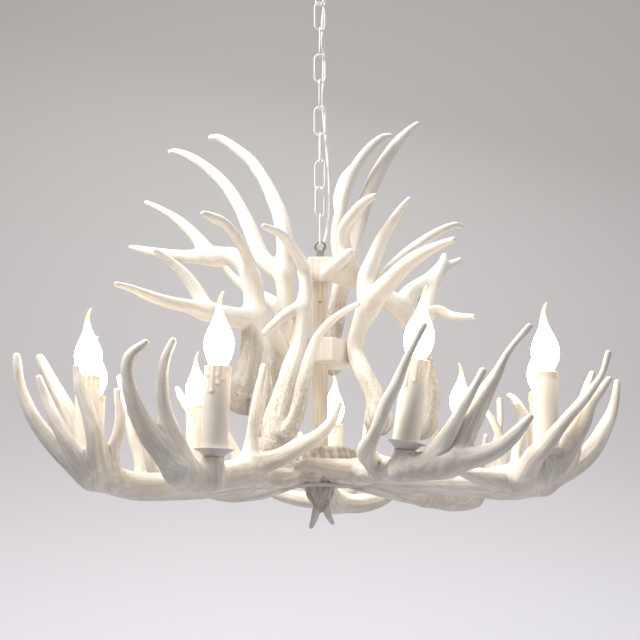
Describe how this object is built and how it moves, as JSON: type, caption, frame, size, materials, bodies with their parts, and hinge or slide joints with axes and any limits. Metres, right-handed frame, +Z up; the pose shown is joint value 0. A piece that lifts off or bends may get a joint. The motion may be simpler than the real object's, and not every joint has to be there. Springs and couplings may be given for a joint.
{
  "type": "antler chandelier",
  "caption": "Hanging chandelier of cast antlers round a square column, with candle lights on the lower antlers and a chain to the ceiling.",
  "frame": {"origin": "the ceiling face on the lamp's upright axis", "axes": "+Z up, -Y towards the viewer, +X to the viewer's right"},
  "size_m": [0.8307, 0.7273, 0.9173],
  "materials": {
    "antler_resin": "matte cast resin with a bone-like grain",
    "burr_resin": "matte cast resin with a burr texture",
    "candle_cream": "satin with wax drips",
    "bulb_glass": "frosted, lit",
    "bulb_metal": "satin",
    "pan_metal": "matte paint",
    "column_wood": "pale stain with a vertical grain",
    "white_metal": "satin paint",
    "zinc_steel": "zinc plated",
    "cord_white": "satin sheath",
    "terminal_white": "gloss",
    "holder_plastic": "matte"
  },
  "bodies": {
    "ceiling": {"canopy": "white_metal", "canopy_collar": "white_metal", "ceiling_strap": "zinc_steel", "ceiling_terminal": "terminal_white", "eye_bolt": "white_metal", "cord_upper": "cord_white"},
    "chain": {"chain_links": "white_metal", "cord_clip": "white_metal", "cord_lower": "cord_white"},
    "lamp": {"antler_studs": "zinc_steel", "candle_sleeves": "candle_cream", "centre_rod": "zinc_steel", "column": "column_wood", "drip_pans": "pan_metal", "finial": "antler_resin", "hanging_loop": "white_metal", "hub_cover": "burr_resin", "hub_drum": "burr_resin", "hub_screws": "zinc_steel", "hub_terminal": "terminal_white", "inner_lead": "cord_white", "lamp_holders": "holder_plastic", "lower_antler_1": "antler_resin", "lower_antler_2": "antler_resin", "lower_antler_3": "antler_resin", "lower_antler_4": "antler_resin", "lower_antler_5": "antler_resin", "lower_antler_6": "antler_resin", "lower_antler_7": "antler_resin", "lower_antler_8": "antler_resin", "lower_antler_9": "antler_resin", "middle_block": "column_wood", "nipples": "zinc_steel", "rod_nut": "zinc_steel", "top_cap": "column_wood", "upper_antler_1": "antler_resin", "upper_antler_2": "antler_resin", "upper_antler_3": "antler_resin", "upper_antler_4": "antler_resin", "upper_antler_5": "antler_resin", "upper_antler_6": "antler_resin"},
    "bulb_1": {"bulb_cap_1": "bulb_metal", "bulb_glass_1": "bulb_glass"},
    "bulb_2": {"bulb_cap_2": "bulb_metal", "bulb_glass_2": "bulb_glass"},
    "bulb_3": {"bulb_cap_3": "bulb_metal", "bulb_glass_3": "bulb_glass"},
    "bulb_4": {"bulb_cap_4": "bulb_metal", "bulb_glass_4": "bulb_glass"},
    "bulb_5": {"bulb_cap_5": "bulb_metal", "bulb_glass_5": "bulb_glass"},
    "bulb_6": {"bulb_cap_6": "bulb_metal", "bulb_glass_6": "bulb_glass"},
    "bulb_7": {"bulb_cap_7": "bulb_metal", "bulb_glass_7": "bulb_glass"},
    "bulb_8": {"bulb_cap_8": "bulb_metal", "bulb_glass_8": "bulb_glass"},
    "bulb_9": {"bulb_cap_9": "bulb_metal", "bulb_glass_9": "bulb_glass"}
  },
  "joints": [
    {"name": "chain_swing", "type": "hinge", "parent": "ceiling", "child": "chain", "pos_m": [0, 0, -0.061], "axis": [1, 0, 0], "range_deg": [-15, 15], "deforming": ["cord_upper"]},
    {"name": "lamp_swing", "type": "hinge", "parent": "chain", "child": "lamp", "pos_m": [0, 0, -0.5143], "axis": [0, 1, 0], "range_deg": [-12, 12], "deforming": ["cord_lower"]},
    {"name": "bulb_1_turn", "type": "hinge", "parent": "lamp", "child": "bulb_1", "pos_m": [-0.2944, -0.15985, -0.8266], "axis": [-0.0175, 0, 0.9998], "range_deg": [0, 1620]},
    {"name": "bulb_2_turn", "type": "hinge", "parent": "lamp", "child": "bulb_2", "pos_m": [-0.12021, -0.30518, -0.8356], "axis": [0.0297, 0, 0.9996], "range_deg": [0, 1620]},
    {"name": "bulb_3_turn", "type": "hinge", "parent": "lamp", "child": "bulb_3", "pos_m": [0.09674, -0.31446, -0.8286], "axis": [0.1392, 0, 0.9903], "range_deg": [0, 1620]},
    {"name": "bulb_4_turn", "type": "hinge", "parent": "lamp", "child": "bulb_4", "pos_m": [0.27922, -0.19047, -0.8256], "axis": [0.0262, 0, 0.9997], "range_deg": [0, 1620]},
    {"name": "bulb_5_turn", "type": "hinge", "parent": "lamp", "child": "bulb_5", "pos_m": [0.31992, 0.05124, -0.8196], "axis": [0, 0, 1], "range_deg": [0, 1620]},
    {"name": "bulb_6_turn", "type": "hinge", "parent": "lamp", "child": "bulb_6", "pos_m": [0.22779, 0.24427, -0.8356], "axis": [0, 0, 1], "range_deg": [0, 1620]},
    {"name": "bulb_7_turn", "type": "hinge", "parent": "lamp", "child": "bulb_7", "pos_m": [0.0233, 0.33319, -0.8386], "axis": [0, 0, 1], "range_deg": [0, 1620]},
    {"name": "bulb_8_turn", "type": "hinge", "parent": "lamp", "child": "bulb_8", "pos_m": [-0.20226, 0.26075, -0.8146], "axis": [0, 0, 1], "range_deg": [0, 1620]},
    {"name": "bulb_9_turn", "type": "hinge", "parent": "lamp", "child": "bulb_9", "pos_m": [-0.3296, 0.0599, -0.8236], "axis": [0, 0, 1], "range_deg": [0, 1620]}
  ]
}
